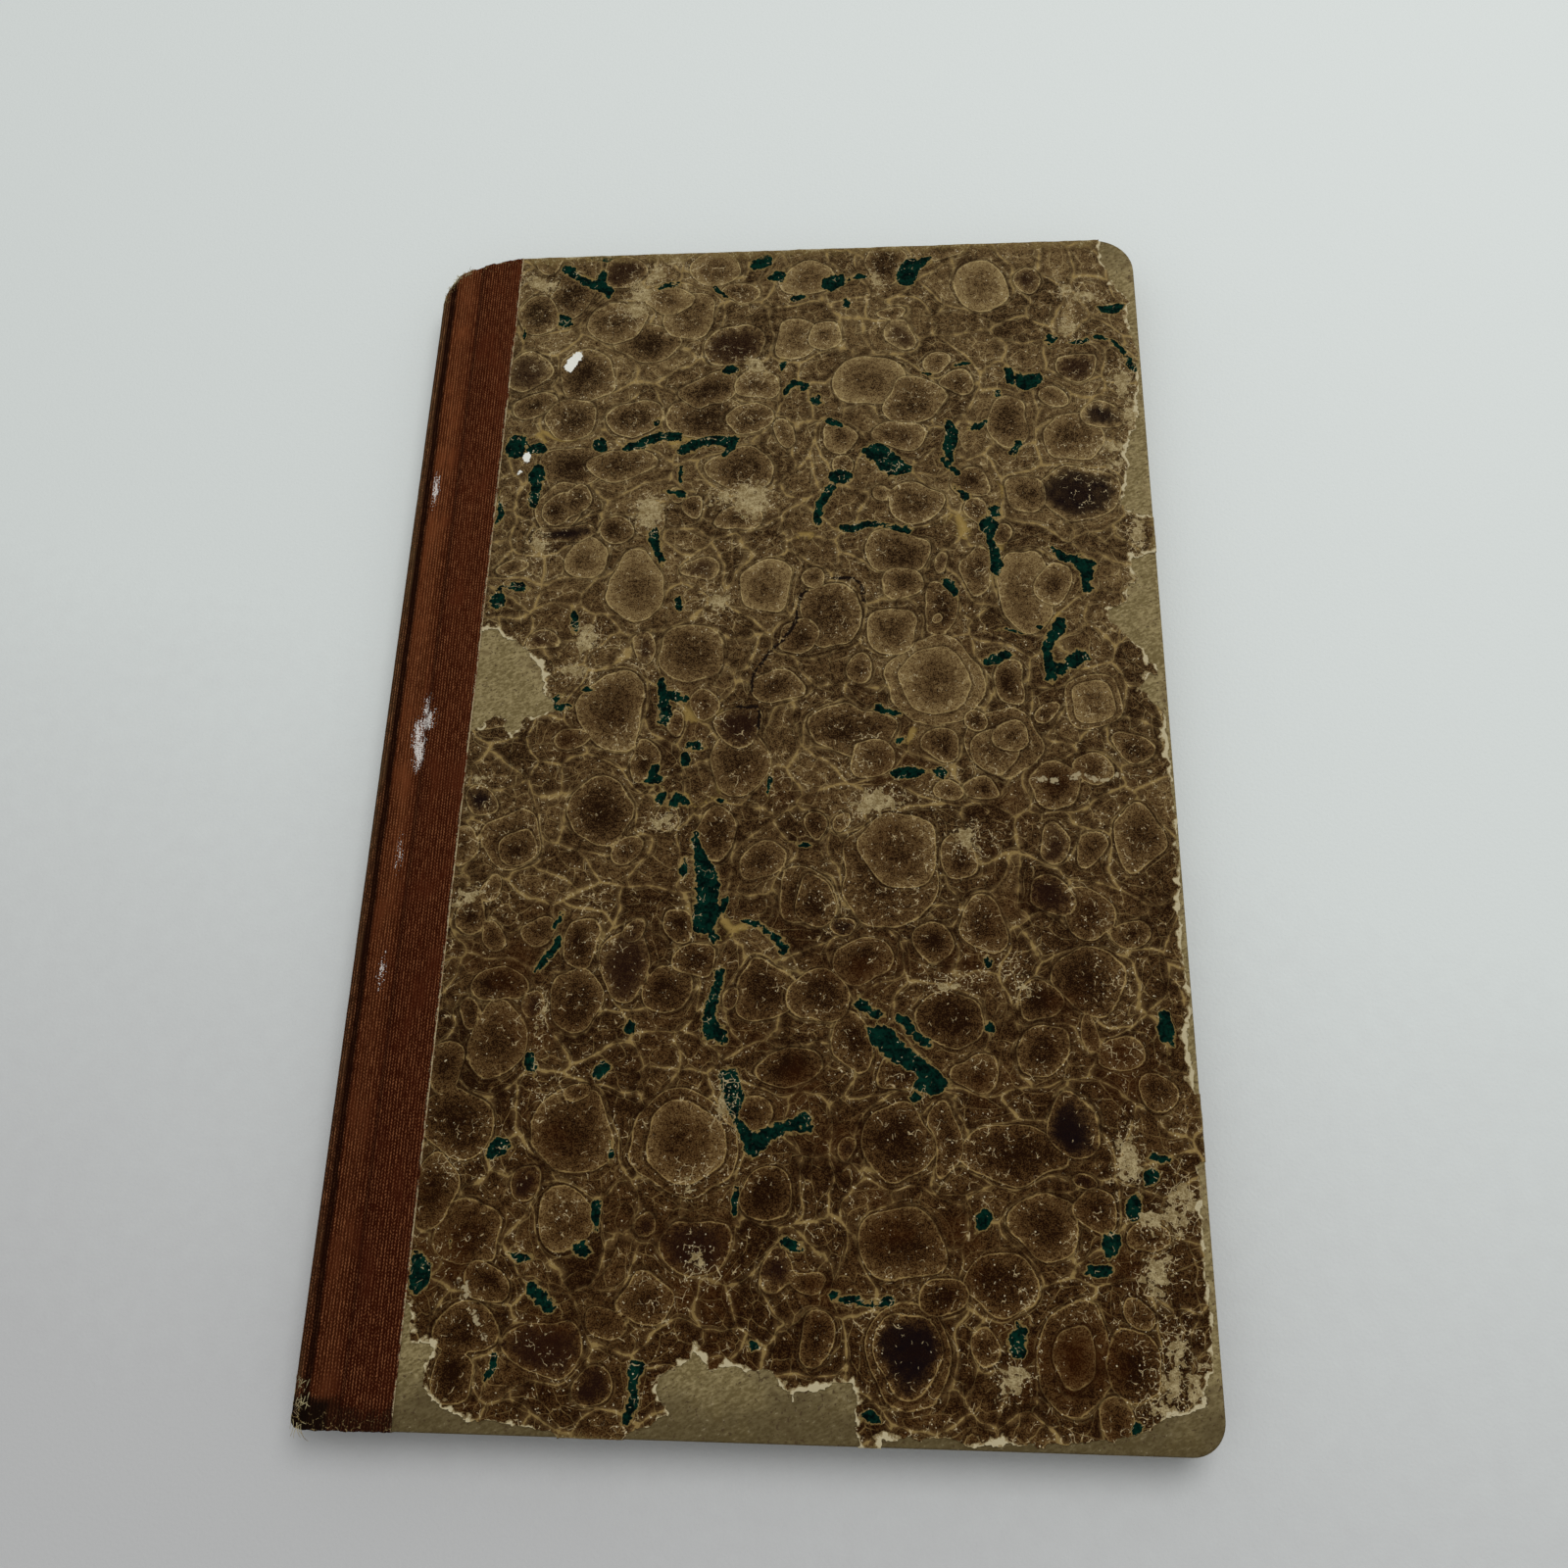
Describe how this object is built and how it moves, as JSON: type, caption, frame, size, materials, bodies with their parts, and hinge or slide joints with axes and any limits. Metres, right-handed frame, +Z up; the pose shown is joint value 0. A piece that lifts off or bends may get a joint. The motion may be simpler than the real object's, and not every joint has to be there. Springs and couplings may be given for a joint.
{
  "type": "hardback book",
  "caption": "Slim quarter-bound hardback book with a ribbed cloth spine and worn marbled paper sides, lying flat; both covers turn on their joints.",
  "frame": {"origin": "centre of the book's outline in plan, on the surface that it lies on", "axes": "+X from the spine to the fore edge, +Y to the head, +Z up out of the front cover"},
  "size_m": [0.2114, 0.334, 0.0126],
  "materials": {
    "bookcloth": "fine ribbed red-brown bookcloth, worn matt",
    "marbled_paper": "brown shell-marbled paper with ochre veins and green spots, rubbed",
    "greyboard": "bare grey-tan board, matt",
    "pages": "aged cream paper",
    "endpaper": "plain aged endpaper",
    "linen": "open-weave lining cloth",
    "card": "thin brown card"
  },
  "bodies": {
    "rear_cover": {"rear_board": "greyboard", "rear_side_paper": "marbled_paper", "rear_cloth": "bookcloth", "rear_pastedown": "endpaper"},
    "pages": {"text_block": "pages", "rear_flyleaf": "endpaper", "front_flyleaf": "endpaper", "mull_lining": "linen", "spine_inlay": "card", "spine_cloth": "bookcloth"},
    "front_cover": {"front_board": "greyboard", "front_side_paper": "marbled_paper", "front_cloth": "bookcloth", "front_pastedown": "endpaper"}
  },
  "joints": [
    {"name": "rear_cover_joint", "type": "hinge", "parent": "rear_cover", "child": "pages", "pos_m": [-0.09345, 0, 0], "axis": [0, -1, 0], "range_deg": [0, 165]},
    {"name": "front_cover_joint", "type": "hinge", "parent": "pages", "child": "front_cover", "pos_m": [-0.09345, 0, 0.0126], "axis": [0, -1, 0], "range_deg": [0, 180]}
  ]
}
